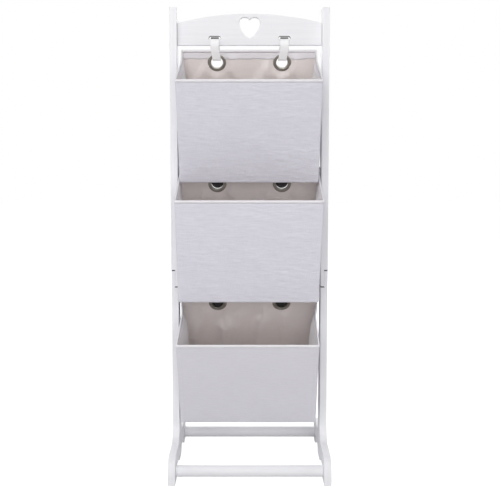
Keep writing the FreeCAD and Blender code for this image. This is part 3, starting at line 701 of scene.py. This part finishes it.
def cut_eyelet_holes(shape, layer):
    """Takes faces out of the back wall round each eyelet and pulls the edge that is left to a circle."""
    for centre in (-EYELET_X, EYELET_X):
        def reach(vert):
            return math.hypot(vert.co.x - centre, vert.co.z - EYELET_Z)
        inside = [f for f in shape.faces if f.normal.y > 0.9
                  and any(v.co.y > layer.back - 6 and reach(v) < HOLE_RADIUS for v in f.verts)]
        rim = {v for f in inside for v in f.verts}
        bmesh.ops.delete(shape, geom=inside, context="FACES")
        for vert in rim:
            if vert.is_valid and reach(vert) >= HOLE_RADIUS:
                pull = HOLE_RADIUS / reach(vert)
                vert.co.x = centre + (vert.co.x - centre) * pull
                vert.co.z = EYELET_Z + (vert.co.z - EYELET_Z) * pull
    bmesh.ops.delete(shape, geom=[v for v in shape.verts if not v.link_faces], context="VERTS")


def cloth_shell(basket, layer, name, bottom, thickness, finishes, rows):
    """One layer of a basket as a mesh with thickness, in finishes for its wide walls and its side walls.

    Where bottom is given the layer has no floor, and its lower edge is cut a little unevenly.
    """
    xs = pattern_lines(-layer.half, layer.half, ACROSS)
    ys = pattern_lines(layer.front, layer.back, ALONG)
    low = layer.floor if bottom is None else bottom
    start = EDGE_RADIUS if bottom is None else 0.0
    zs = [low + start + (CLOTH_TOP - low - start) * step / rows for step in range(rows + 1)]
    if bottom is None:
        zs = [low + EDGE_RADIUS * share for share in EDGE_SHARES[:-1]] + zs
    last_x, last_y, last_z = len(xs) - 1, len(ys) - 1, len(zs) - 1
    shape = bmesh.new()
    uv = shape.loops.layers.uv.new("pattern")
    points = {}

    def point(i, j, k, face):
        if (i, j, k) not in points:
            uneven = 3.0 * noise.noise(Vector((xs[i] / 26, ys[j] / 26, basket.seed)))
            z = zs[k] if bottom is None else zs[k] + uneven * (1 - k / last_z)
            points[i, j, k] = shape.verts.new(on_cloth(basket, layer, face, xs[i], ys[j], z))
        return points[i, j, k]

    def panel(face, columns, lines, corner, flat):
        shift_x, shift_y = PANEL_SHIFT[face]
        for a in range(columns):
            for b in range(lines):
                corners = [corner(a, b), corner(a + 1, b), corner(a + 1, b + 1), corner(a, b + 1)]
                made = shape.faces.new([point(*c, face) for c in corners])
                for loop, c in zip(made.loops, corners):
                    x, y = flat(*c)
                    loop[uv].uv = Vector((x + shift_x, y + shift_y)) * MM
                made.normal_update()
                if made.normal.dot(OUTWARD[face]) < 0:
                    made.normal_flip()
                made.smooth = True
                # On the lining the side walls take the second, whiter finish, which also paints in light
                # through the cloth.
                made.material_index = 1 if face in ("left", "right") else 0

    panel("front", last_x, last_z, lambda a, b: (a, 0, b), lambda i, j, k: (xs[i], zs[k]))
    panel("back", last_x, last_z, lambda a, b: (a, last_y, b), lambda i, j, k: (xs[i], zs[k]))
    panel("left", last_y, last_z, lambda a, b: (0, a, b), lambda i, j, k: (ys[j], zs[k]))
    panel("right", last_y, last_z, lambda a, b: (last_x, a, b), lambda i, j, k: (ys[j], zs[k]))
    if bottom is None:
        panel("floor", last_x, last_y, lambda a, b: (a, b, 0), lambda i, j, k: (xs[i], ys[j]))
    cut_eyelet_holes(shape, layer)

    flat_sheet = bpy.data.objects.new(name + "_sheet", placed_mesh(shape, basket, name, finishes))
    scene.collection.objects.link(flat_sheet)
    thick = flat_sheet.modifiers.new("cloth_thickness", "SOLIDIFY")
    thick.thickness = thickness * MM
    thick.offset = -1.0
    made = plain_mesh(flat_sheet, name)
    bpy.data.objects.remove(flat_sheet)
    return made


for basket in baskets:
    body = basket.body
    canvas = calm_canvas if basket.name == "bottom" else pale_canvas
    cover = cloth_shell(basket, COVER, body + "_cover_cloth", None, COVER_THICK, (canvas, canvas), DOWN)
    add_piece(body + "_cover_cloth", cover, body, [f"{body}_{panel}" for panel in PANELS])
    lining = cloth_shell(basket, LINING, body + "_lining_cloth", None, LINING_THICK,
                         (beige_lining, side_lining_painted_light), DOWN)
    add_piece(body + "_lining_cloth", lining, body, [body + "_lining"])
    hem = cloth_shell(basket, HEM, body + "_hem", HEM_LOW, HEM_THICK, (hem_cloth, hem_cloth), HEM_ROWS)
    add_piece(body + "_hem", hem, body)
    for stiffener in ("front_board", "back_board", "base_board"):
        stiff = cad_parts[f"{body}_{stiffener}"].data.copy()
        for vert in stiff.vertices:
            vert.co = basket.place(given_way(basket, basket.matrix.inverted() @ vert.co / MM))
        stiff.materials.clear()
        stiff.materials.append(grey_board)
        add_piece(f"{body}_grey_{stiffener}", stiff, body, [f"{body}_{stiffener}"])
    print(body, "cloth faces:", len(cover.polygons), len(lining.polygons), len(hem.polygons))

# %% [markdown]
# ## Rim binding
# The raw edges of cover, lining and hem are closed by a narrow white tape folded over the rim. A curve with
# a bevel would be quicker, but it can twist at the corners. Here the tape is a strip that follows the rim's
# own line, with a round top, so it kinks in with the side creases.


# %% Binding over the rim
def rim_line(layer):
    """Grid points once round the rim, with the wall each one lies on."""
    xs = pattern_lines(-layer.half, layer.half, ACROSS)
    ys = pattern_lines(layer.front, layer.back, ALONG)
    return ([("back", x, layer.back) for x in xs[:-1]]
            + [("right", layer.half, y) for y in reversed(ys[1:])]
            + [("front", x, layer.front) for x in reversed(xs[1:])]
            + [("left", -layer.half, y) for y in ys[:-1]])


def binding_mesh(basket, name):
    """The tape over one basket's rim: a closed section with a round top, swept once round."""
    proud_outside, proud_inside = 0.4, 0.9
    fold_depth, round_from = -6.4, -2.3
    flat_step = 1.6
    bends = [math.radians(step * 180 / 6) for step in range(7)]
    shape = bmesh.new()
    uv = shape.loops.layers.uv.new("pattern")
    rings = []
    for (face, out_x, out_y), (_, in_x, in_y) in zip(rim_line(COVER), rim_line(HEM)):
        out_top, out_low = [on_cloth(basket, COVER, face, out_x, out_y, z, proud_outside)
                            for z in (round_from, fold_depth)]
        in_top, in_low = [on_cloth(basket, HEM, face, in_x, in_y, z, -proud_inside)
                          for z in (round_from, fold_depth)]
        middle, arm = (out_top + in_top) / 2, (out_top - in_top) / 2
        crown = Vector((0, 0, -round_from))
        over = [middle + arm * math.cos(bend) + crown * math.sin(bend) for bend in bends]
        rings.append([shape.verts.new(p) for p in [out_low] + over + [in_low]])
    run = 0.0
    for ring, following in zip(rings, rings[1:] + rings[:1]):
        step = (following[0].co - ring[0].co).length
        for low in range(len(ring)):
            high = (low + 1) % len(ring)
            made = shape.faces.new([ring[low], following[low], following[high], ring[high]])
            flat = ((run, low), (run + step, low), (run + step, low + 1), (run, low + 1))
            for loop, (along, line) in zip(made.loops, flat):
                loop[uv].uv = (along * MM, line * flat_step * MM)
            made.smooth = low < len(ring) - 1
        run += step
    bmesh.ops.recalc_face_normals(shape, faces=shape.faces)
    return placed_mesh(shape, basket, name, [rim_cloth])


for basket in baskets:
    tape = binding_mesh(basket, basket.body + "_rim_tape")
    add_piece(basket.body + "_rim_tape", tape, basket.body, [basket.body + "_rim_binding"])
print("rim tape faces:", len(tape.polygons))

# %% [markdown]
# ## Eyelets
# A sheet eyelet is pressed in two halves: a domed ring with a barrel from the front, and a washer that the
# barrel is rolled over at the back. A plain torus would miss the flange and the rolled lip, so each half is
# a profile turned once round. Geometry Nodes then put the half on the two holes of each basket, tilted with
# it.

# %% Turned eyelet halves
EYELET_STEPS = 56
RING_PROFILE = ((14.5, -0.9), (14.5, 4.3), (14.62, 4.9), (15.05, 5.35), (15.8, 5.55), (17.4, 5.6),
                (19.4, 5.45), (20.9, 5.1), (21.8, 4.7), (22.0, 4.42), (21.7, 4.3), (15.3, 4.2),
                (15.3, -0.2), (15.1, -0.9))
WASHER_PROFILE = ((14.55, -0.9), (14.8, -1.2), (15.6, -1.3), (16.4, -1.05), (17.2, -1.15), (19.5, -1.1),
                  (21.4, -0.75), (22.0, -0.25), (21.8, -0.05), (15.5, 0.0), (15.2, -0.4))


def band(shape, ring, following, smooth=True):
    """Faces from one ring of points to the next, each with the numbers of the two points it starts from."""
    made = []
    for low in range(len(ring)):
        high = (low + 1) % len(ring)
        face = shape.faces.new([ring[low], ring[high], following[high], following[low]])
        face.smooth = smooth
        made.append((face, low, high))
    return made


def turned(name, profile):
    """A closed profile of radius and forward reach, turned about the eyelet's own axis."""
    shape = bmesh.new()
    rings = []
    for step in range(EYELET_STEPS):
        angle = 2 * math.pi * step / EYELET_STEPS
        rings.append([shape.verts.new((r * MM * math.cos(angle), -forward * MM, r * MM * math.sin(angle)))
                      for r, forward in profile])
    for ring, following in zip(rings, rings[1:] + rings[:1]):
        band(shape, ring, following)
    bmesh.ops.recalc_face_normals(shape, faces=shape.faces)
    mesh = bpy.data.meshes.new(name)
    shape.to_mesh(mesh)
    shape.free()
    made = bpy.data.objects.new(name, mesh)
    scene.collection.objects.link(made)
    made.hide_render = True
    return made


def new_tree(name, inputs):
    """A Geometry Nodes tree with named inputs, the sockets to link from, and the inputs' identifiers."""
    tree = bpy.data.node_groups.new(name, "GeometryNodeTree")
    tree.interface.new_socket("Guide", in_out="INPUT", socket_type="NodeSocketGeometry")
    ids = {label: tree.interface.new_socket(label, in_out="INPUT", socket_type=kind).identifier
           for label, kind in inputs.items()}
    tree.interface.new_socket("Pieces", in_out="OUTPUT", socket_type="NodeSocketGeometry")
    return tree, add_node(tree, "NodeGroupInput").outputs, ids


def end_tree(tree, instances, finish):
    """Ends a tree: the instances become real faces and get their finish."""
    real = add_node(tree, "GeometryNodeRealizeInstances", {0: instances}).outputs[0]
    painted = add_node(tree, "GeometryNodeSetMaterial", {"Geometry": real, "Material": finish}).outputs[0]
    add_node(tree, "NodeGroupOutput", {0: painted})


def eyelet_nodes():
    """Nodes that put one half of an eyelet on every point of the guide, tilted."""
    tree, start, ids = new_tree("eyelets_on_points", {"Eyelet half": "NodeSocketObject",
                                                      "Tilt": "NodeSocketFloat",
                                                      "Finish": "NodeSocketMaterial"})
    half = add_node(tree, "GeometryNodeObjectInfo", {"Object": start["Eyelet half"]}).outputs["Geometry"]
    lean = add_node(tree, "ShaderNodeCombineXYZ", {"X": start["Tilt"]}).outputs[0]
    spread = add_node(tree, "GeometryNodeInstanceOnPoints", {"Points": start["Guide"], "Instance": half,
                                                             "Rotation": lean}).outputs[0]
    end_tree(tree, spread, start["Finish"])
    return tree, ids


def grown_mesh(points, edges, name, tree, settings):
    """Runs a node tree on a guide of points and edges and gives back plain faces."""
    guide = bpy.data.meshes.new(name + "_guide")
    guide.from_pydata(points, edges, [])
    carrier = bpy.data.objects.new(name + "_guide", guide)
    scene.collection.objects.link(carrier)
    growth = carrier.modifiers.new("growth", "NODES")
    growth.node_group = tree
    for identifier, value in settings.items():
        growth[identifier] = value
    made = plain_mesh(carrier, name)
    carrier.modifiers.remove(growth)
    bpy.data.objects.remove(carrier)
    return made


ring_half = turned("eyelet_ring_pattern", RING_PROFILE)
washer_half = turned("eyelet_washer_pattern", WASHER_PROFILE)
eyelet_tree, eyelet_ids = eyelet_nodes()
for basket in baskets:
    centres = [basket.place((x, 0, EYELET_Z)) for x in (-EYELET_X, EYELET_X)]
    for half, part in ((ring_half, "eyelet_rings"), (washer_half, "eyelet_washers")):
        name = f"{basket.body}_pressed_{part}"
        pair = grown_mesh(centres, [], name, eyelet_tree,
                          {eyelet_ids["Eyelet half"]: half, eyelet_ids["Tilt"]: basket.tilt,
                           eyelet_ids["Finish"]: eyelet_steel})
        add_piece(name, pair, basket.body, [f"{basket.body}_{part}"])
for pattern in (ring_half, washer_half):
    bpy.data.objects.remove(pattern)
print("faces in a pair of washers:", len(pair.polygons))

# %% [markdown]
# ## Straps
# Each strap is a loop of webbing: through the eyelet, up the inside of the back wall, over the rim, round
# its bar and down again. Its line is a belt drawn tight round three circles, one at each turn. A bevelled
# curve would round off the flat webbing, so its section is swept along the line by hand. It leans a little,
# because the slots stand further apart than the eyelets. On the two lower baskets a loose end hangs behind
# each eyelet as a rounded tab whose side to the wall is near-black: painted shade, which is what shows
# through the eyelets. On the top one a near-black tape over the loop's turn paints the shade in the
# headboard's slot.

# %% Webbing loops, tabs and tape for painted shade
STRAP_HALF, WEB_MIDDLE = 10.0, 0.75
TAB_HALF = 16.0
TAB_ENDS = {"middle": -48.0, "bottom": -58.0}
TAB_TURNS = [math.radians(angle) for angle in (0, 18, 34, 48, 60, 70, 78, 84)]
EYELET_TURN = (-2.2, -21.48, 3.8)
RIM_TURN = (-2.2, -2.2, 3.41)
WEB_SECTION = ((-10.0, 0.75), (-9.75, 0.22), (-9.2, 0.0), (-7.6, 0.06), (-6.8, 0.1), (6.8, 0.1), (7.6, 0.06),
               (9.2, 0.0), (9.75, 0.22), (10.0, 0.75), (9.75, 1.28), (9.2, 1.5), (7.6, 1.44), (6.8, 1.4),
               (-6.8, 1.4), (-7.6, 1.44), (-9.2, 1.5), (-9.75, 1.28))


def belt_line(circles, turn_step, run_step):
    """Points and outward directions of a tight belt round circles, in the plane of back and up."""
    normals = []
    for (y0, z0, r0), (y1, z1, r1) in zip(circles, circles[1:] + circles[:1]):
        apart = Vector((y1 - y0, z1 - z0))
        along = apart.normalized()
        lean = (r0 - r1) / apart.length
        normals.append(along * lean + Vector((along.y, -along.x)) * math.sqrt(1 - lean * lean))
    belt = []
    for number, (y, z, r) in enumerate(circles):
        arrive, leave = normals[number - 1], normals[number]
        start = math.atan2(arrive.y, arrive.x)
        sweep = (math.atan2(leave.y, leave.x) - start) % (2 * math.pi)
        steps = max(2, round(sweep / turn_step))
        for step in range(steps + 1):
            angle = start + sweep * step / steps
            out = Vector((math.cos(angle), math.sin(angle)))
            belt.append((Vector((y, z)) + out * r, out))
        y1, z1, r1 = circles[(number + 1) % len(circles)]
        here, there = Vector((y, z)) + leave * r, Vector((y1, z1)) + leave * r1
        steps = max(1, round((there - here).length / run_step))
        belt += [(here.lerp(there, step / steps), leave) for step in range(1, steps)]
    return belt


def strap_x(basket, sign, z):
    """A strap's middle at a height: over the eyelet below, over its slot above."""
    return sign * (EYELET_X + (SLOT_X - EYELET_X) * ease(z, -26.0, max(basket.bar_turn[1], 2.0)))


def web_ring(shape, middle, place, out, widen=1.0, sink=0.0):
    """The webbing's section at one place of its line, with its thickness towards out."""
    return [shape.verts.new((middle + across * widen, place.x + out.x * (height - sink),
                             place.y + out.y * (height - sink))) for across, height in WEB_SECTION]


def lay_flat(uv, face, low, high, start, end):
    """Gives a face of webbing its place on the flat strip: across by its section, along from start to end."""
    for loop, (corner, run) in zip(face.loops, ((low, start), (high, start), (high, end), (low, end))):
        loop[uv].uv = Vector((WEB_SECTION[corner][0], run)) * MM


def strap_mesh(basket, sign, name):
    """One closed loop of webbing, and its length."""
    belt = belt_line([EYELET_TURN, basket.bar_turn, RIM_TURN], math.radians(9), 2.5)
    shape = bmesh.new()
    uv = shape.loops.layers.uv.new("pattern")
    rings = [web_ring(shape, strap_x(basket, sign, place.y), place, out) for place, out in belt]
    run = 0.0
    for number, ring in enumerate(rings):
        following = (number + 1) % len(rings)
        step = (belt[following][0] - belt[number][0]).length
        for face, low, high in band(shape, ring, rings[following]):
            lay_flat(uv, face, low, high, run, run + step)
        run += step
    bmesh.ops.recalc_face_normals(shape, faces=shape.faces)
    return placed_mesh(shape, basket, name, [white_webbing]), run


def tab_line(basket, end):
    """A loose end's points and half widths: sewn to the loop's back run, hanging down, rounded below."""
    sewn_share, off_loop, overlap, off_wall = 0.85, 1.2, 6, 2.4
    hang_step, widen_step = 2.5, 1.5
    (y0, z0, _), (y1, z1, r1) = EYELET_TURN, basket.bar_turn
    run = Vector((y1 - y0, z1 - z0)).normalized()
    out = Vector((run.y, -run.x))
    sewn = Vector((y0, z0)).lerp(Vector((y1, z1)), sewn_share) + out * (r1 + off_loop)
    down = Vector((-math.sin(basket.tilt), -math.cos(basket.tilt)))
    line = [(sewn + run * overlap, STRAP_HALF), (sewn, STRAP_HALF)]

    def hang(length, half):
        lower = line[-1][0] + down * length
        line.append((Vector((max(lower.x, off_wall), lower.y)), half))

    while line[-1][0].y > end + TAB_HALF:
        hang(hang_step, min(line[-1][1] + widen_step, TAB_HALF))
    for before, after in zip(TAB_TURNS, TAB_TURNS[1:]):
        hang(TAB_HALF * (math.sin(after) - math.sin(before)), TAB_HALF * math.cos(after))
    return line


def tab_mesh(basket, end, name):
    """The loose ends of both straps, which hang down behind the eyelets, near-black on the side to the wall
    as painted shade.
    """
    line = tab_line(basket, end)
    shape = bmesh.new()
    uv = shape.loops.layers.uv.new("pattern")
    for sign in (-1, 1):
        rings = []
        for number, (place, half) in enumerate(line):
            along = (line[min(number + 1, len(line) - 1)][0] - line[max(number - 1, 0)][0]).normalized()
            out = Vector((-along.y, along.x))
            rings.append(web_ring(shape, sign * EYELET_X, place, out, half / STRAP_HALF, WEB_MIDDLE))
        for number, (ring, following) in enumerate(zip(rings, rings[1:])):
            for face, low, high in band(shape, ring, following):
                lay_flat(uv, face, low, high, line[number][0].y, line[number + 1][0].y)
                # The side to the wall shows through the eyelet and gets the near-black finish: painted shade.
                to_wall = WEB_SECTION[low][1] + WEB_SECTION[high][1] < 0.5
                face.material_index = 1 if to_wall else 0
        shape.faces.new(rings[0])
        shape.faces.new(rings[-1])
    bmesh.ops.recalc_face_normals(shape, faces=shape.faces)
    return placed_mesh(shape, basket, name, [white_webbing, painted_shade_tape])


def turn_tape_mesh(basket, name):
    """Near-black tape over the turn of both straps inside the headboard's slots, which paints the slots'
    shade.
    """
    tape_half, tape_thick, sunk = 9.2, 2.4, 1.4
    y, z, turn_radius = basket.bar_turn
    inner = turn_radius + sunk
    outer = inner + tape_thick
    section = ((-tape_half, inner), (tape_half, inner), (tape_half, outer), (-tape_half, outer))
    shape = bmesh.new()
    for sign in (-1, 1):
        rings = []
        for angle in (math.radians(86 - 6 * step) for step in range(10)):
            out = Vector((math.cos(angle), math.sin(angle)))
            middle = strap_x(basket, sign, z + out.y * inner)
            rings.append([shape.verts.new((middle + across, y + out.x * reach, z + out.y * reach))
                          for across, reach in section])
        for ring, following in zip(rings, rings[1:]):
            band(shape, ring, following, smooth=False)
        shape.faces.new(rings[0])
        shape.faces.new(rings[-1])
    bmesh.ops.recalc_face_normals(shape, faces=shape.faces)
    return placed_mesh(shape, basket, name, [painted_shade_tape])


top = baskets[0]
# Near-black tape in the top basket's slots: painted shade.
add_piece("top_basket_hook_tape", turn_tape_mesh(top, "top_basket_hook_tape"), top.body)
for basket in baskets:
    if basket.name in TAB_ENDS:
        tabs = tab_mesh(basket, TAB_ENDS[basket.name], basket.body + "_strap_tails")
        add_piece(basket.body + "_strap_tails", tabs, basket.body)
    for side, sign in (("left", -1), ("right", 1)):
        name = f"{basket.body}_{side}_webbing"
        webbing_loop, length = strap_mesh(basket, sign, name)
        add_piece(name, webbing_loop, basket.body, [f"{basket.body}_{side}_strap"])
    print(basket.body, "strap length", round(length, 1), "mm")

# %% [markdown]
# ## Stitches
# Thread shows as a row of short humps. They could be painted on, but real humps catch the light from any
# side. Each seam is a line on the cloth: round the rim, along the hem, and down the front and the back near
# their side edges. Geometry Nodes walk along it, put a small capsule at every stitch, and turn it along the
# seam.

# %% Seam lines and stitches
STITCH_PITCH = 3.6
STITCH_LENGTH = 2.7
THREAD_RADIUS = 0.3
RIM_SEAM, HEM_SEAM = -4.6, -20.5
SIDE_SEAM_INSET, SIDE_SEAM_TOP, SIDE_SEAM_STEP, SIDE_SEAM_POINTS = 11.5, -9, 3.0, 81
EYELET_CLEAR = 23
LONGEST_STEP = 12


def stitch_nodes():
    """Nodes that turn the guide's lines into rows of capsule-shaped stitches."""
    tree, start, ids = new_tree("stitches_on_lines", {"Pitch": "NodeSocketFloat", "Length": "NodeSocketFloat",
                                                      "Thread radius": "NodeSocketFloat",
                                                      "Finish": "NodeSocketMaterial"})
    seam = add_node(tree, "GeometryNodeMeshToCurve", {"Mesh": start["Guide"]}).outputs[0]
    beads = add_node(tree, "GeometryNodeCurveToPoints", {"Curve": seam, "Length": start["Pitch"]},
                     mode="LENGTH").outputs
    ball = add_node(tree, "GeometryNodeMeshUVSphere", {"Segments": 6, "Rings": 5}).outputs["Mesh"]
    ball = add_node(tree, "GeometryNodeSetShadeSmooth", {0: ball}).outputs[0]
    half = add_node(tree, "ShaderNodeMath", {0: start["Length"], 1: 0.5}, operation="MULTIPLY").outputs[0]
    size = add_node(tree, "ShaderNodeCombineXYZ", {"X": start["Thread radius"], "Y": start["Thread radius"],
                                                   "Z": half}).outputs[0]
    spread = add_node(tree, "GeometryNodeInstanceOnPoints", {"Points": beads["Points"], "Instance": ball,
                                                             "Rotation": beads["Rotation"],
                                                             "Scale": size}).outputs[0]
    end_tree(tree, spread, start["Finish"])
    return tree, ids


def seam_lines(basket):
    """Lines of points on the cloth, in the basket's own frame, and whether each one closes."""
    rim = [on_cloth(basket, COVER, face, x, y, RIM_SEAM, 0.5) for face, x, y in rim_line(COVER)]
    hem_line = [on_cloth(basket, HEM, face, x, y, HEM_SEAM, -0.6) for face, x, y in rim_line(HEM)
                if face != "back" or abs(abs(x) - EYELET_X) > EYELET_CLEAR]
    lines = [(rim, True), (hem_line, False)]
    for face, y in (("front", COVER.front), ("back", COVER.back)):
        for x in (SIDE_SEAM_INSET - COVER.half, COVER.half - SIDE_SEAM_INSET):
            heights = [SIDE_SEAM_TOP - SIDE_SEAM_STEP * step for step in range(SIDE_SEAM_POINTS)]
            lines.append(([on_cloth(basket, COVER, face, x, y, z, 0.12) for z in heights], False))
    return lines


seam_tree, seam_ids = stitch_nodes()
for basket in baskets:
    points, edges = [], []
    for line, closed in seam_lines(basket):
        first = len(points)
        points += [basket.place(p) for p in line]
        edges += [(n, n + 1) for n in range(first, len(points) - 1)
                  if (points[n + 1] - points[n]).length < LONGEST_STEP * MM]
        if closed:
            edges.append((len(points) - 1, first))
    rows = grown_mesh(points, edges, basket.body + "_stitches", seam_tree,
                      {seam_ids["Pitch"]: STITCH_PITCH * MM, seam_ids["Length"]: STITCH_LENGTH * MM,
                       seam_ids["Thread radius"]: THREAD_RADIUS * MM, seam_ids["Finish"]: pale_thread})
    add_piece(basket.body + "_stitches", rows, basket.body)
    print(basket.body, "stitch faces:", len(rows.polygons))
